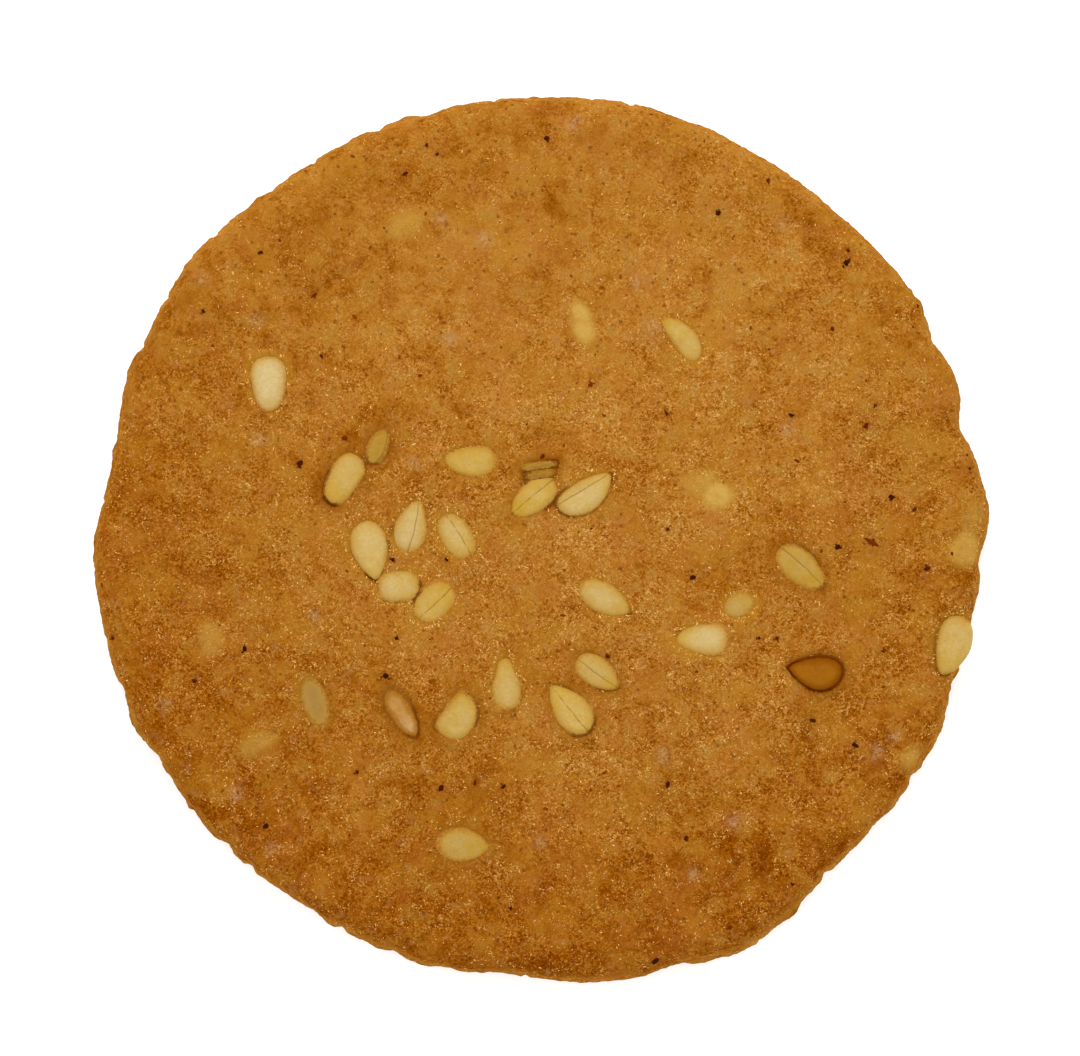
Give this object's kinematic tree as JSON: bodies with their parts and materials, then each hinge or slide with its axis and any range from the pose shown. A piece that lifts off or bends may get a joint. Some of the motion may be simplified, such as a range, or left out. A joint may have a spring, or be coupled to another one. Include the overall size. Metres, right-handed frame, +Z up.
{
  "type": "caramel sesame cookie",
  "caption": "Thin round caramel-brown sesame cookie with an uneven hand-cut edge, a low dented top and a flat underside.",
  "frame": {"origin": "middle of the flat underside's box, on the plane it rests on", "axes": "+Z up through the thickness, +Y towards the top edge of the cookie as seen from above, +X to its right"},
  "size_m": [0.0502, 0.0496, 0.0046],
  "materials": {
    "baked_crumb": "matte baked biscuit crumb with a fine sugary grain",
    "sesame_seed": "satin hulled sesame seed",
    "toasted_seed": "satin amber-brown toasted seed",
    "spice_speck": "matte near-black spice and bran specks",
    "sugar_crystal": "clear pale gold sugar grains"
  },
  "bodies": {
    "root": {"cookie": "baked_crumb"}
  },
  "joints": []
}
